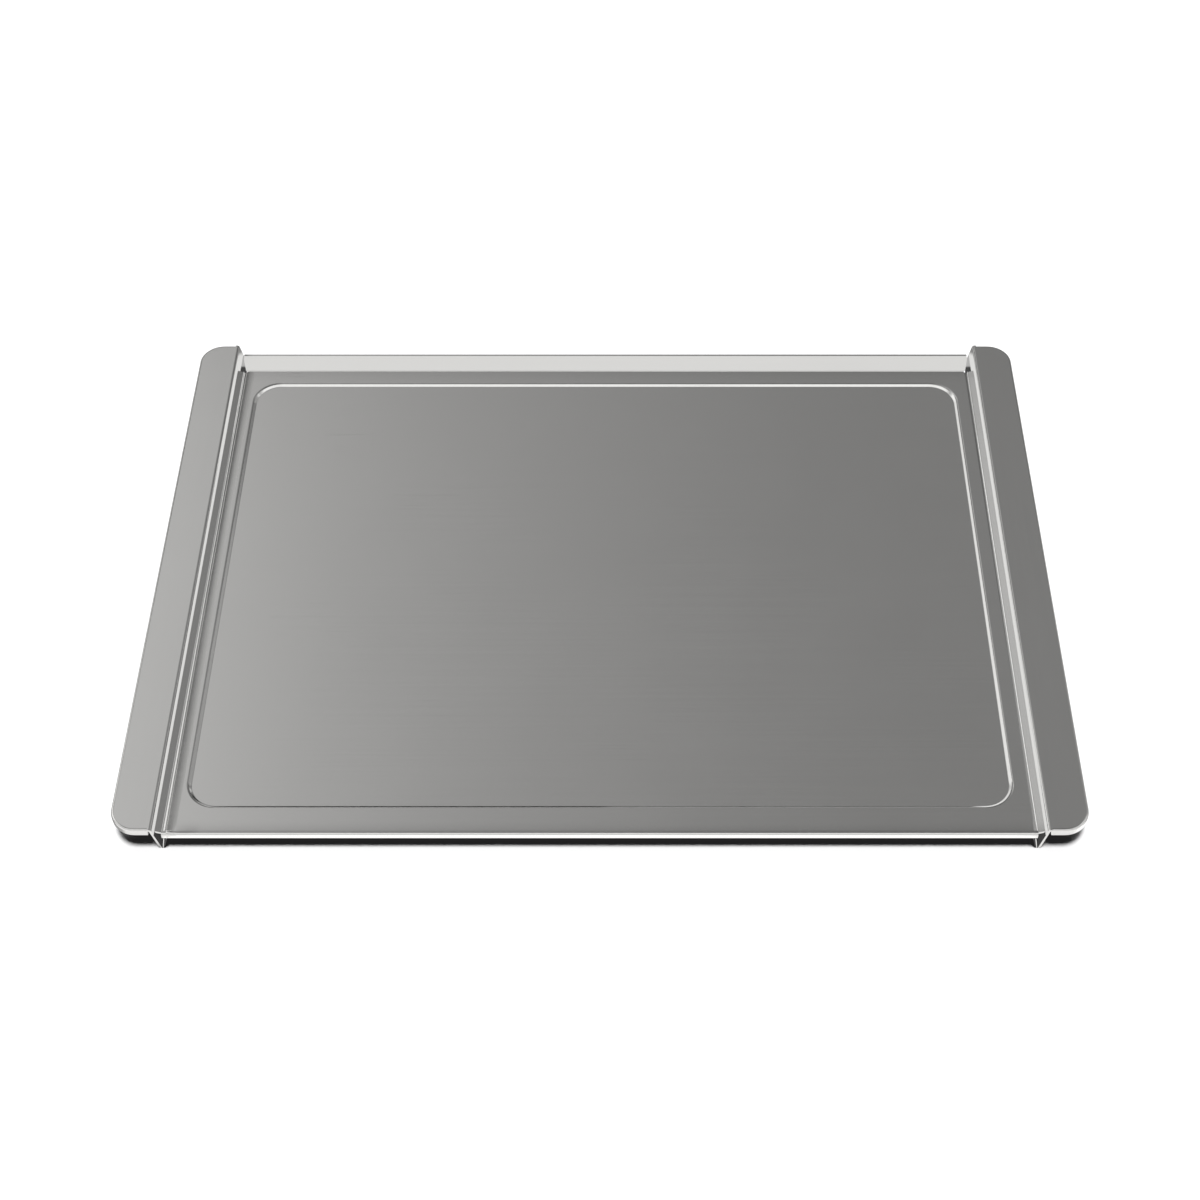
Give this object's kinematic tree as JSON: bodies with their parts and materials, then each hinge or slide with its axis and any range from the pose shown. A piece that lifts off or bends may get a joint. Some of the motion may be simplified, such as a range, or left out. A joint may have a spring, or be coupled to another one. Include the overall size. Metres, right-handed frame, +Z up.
{
  "type": "cookie sheet",
  "caption": "Flat sheet-metal cookie sheet with a shallow pressed panel, a raised back rim, an open front edge and side rails with rounded wings that slide on rack guides.",
  "frame": {"origin": "middle of the tray's outline, on the surface that the two folded runners stand on", "axes": "+X across the tray to the right-hand wing, +Y from the open front lip to the back rim, +Z up"},
  "size_m": [0.46, 0.33, 0.0237],
  "materials": {
    "plate_steel": "satin",
    "rail_steel": "satin"
  },
  "bodies": {
    "root": {"baking_plate": "plate_steel", "left_side_rail": "rail_steel", "right_side_rail": "rail_steel"}
  },
  "joints": []
}
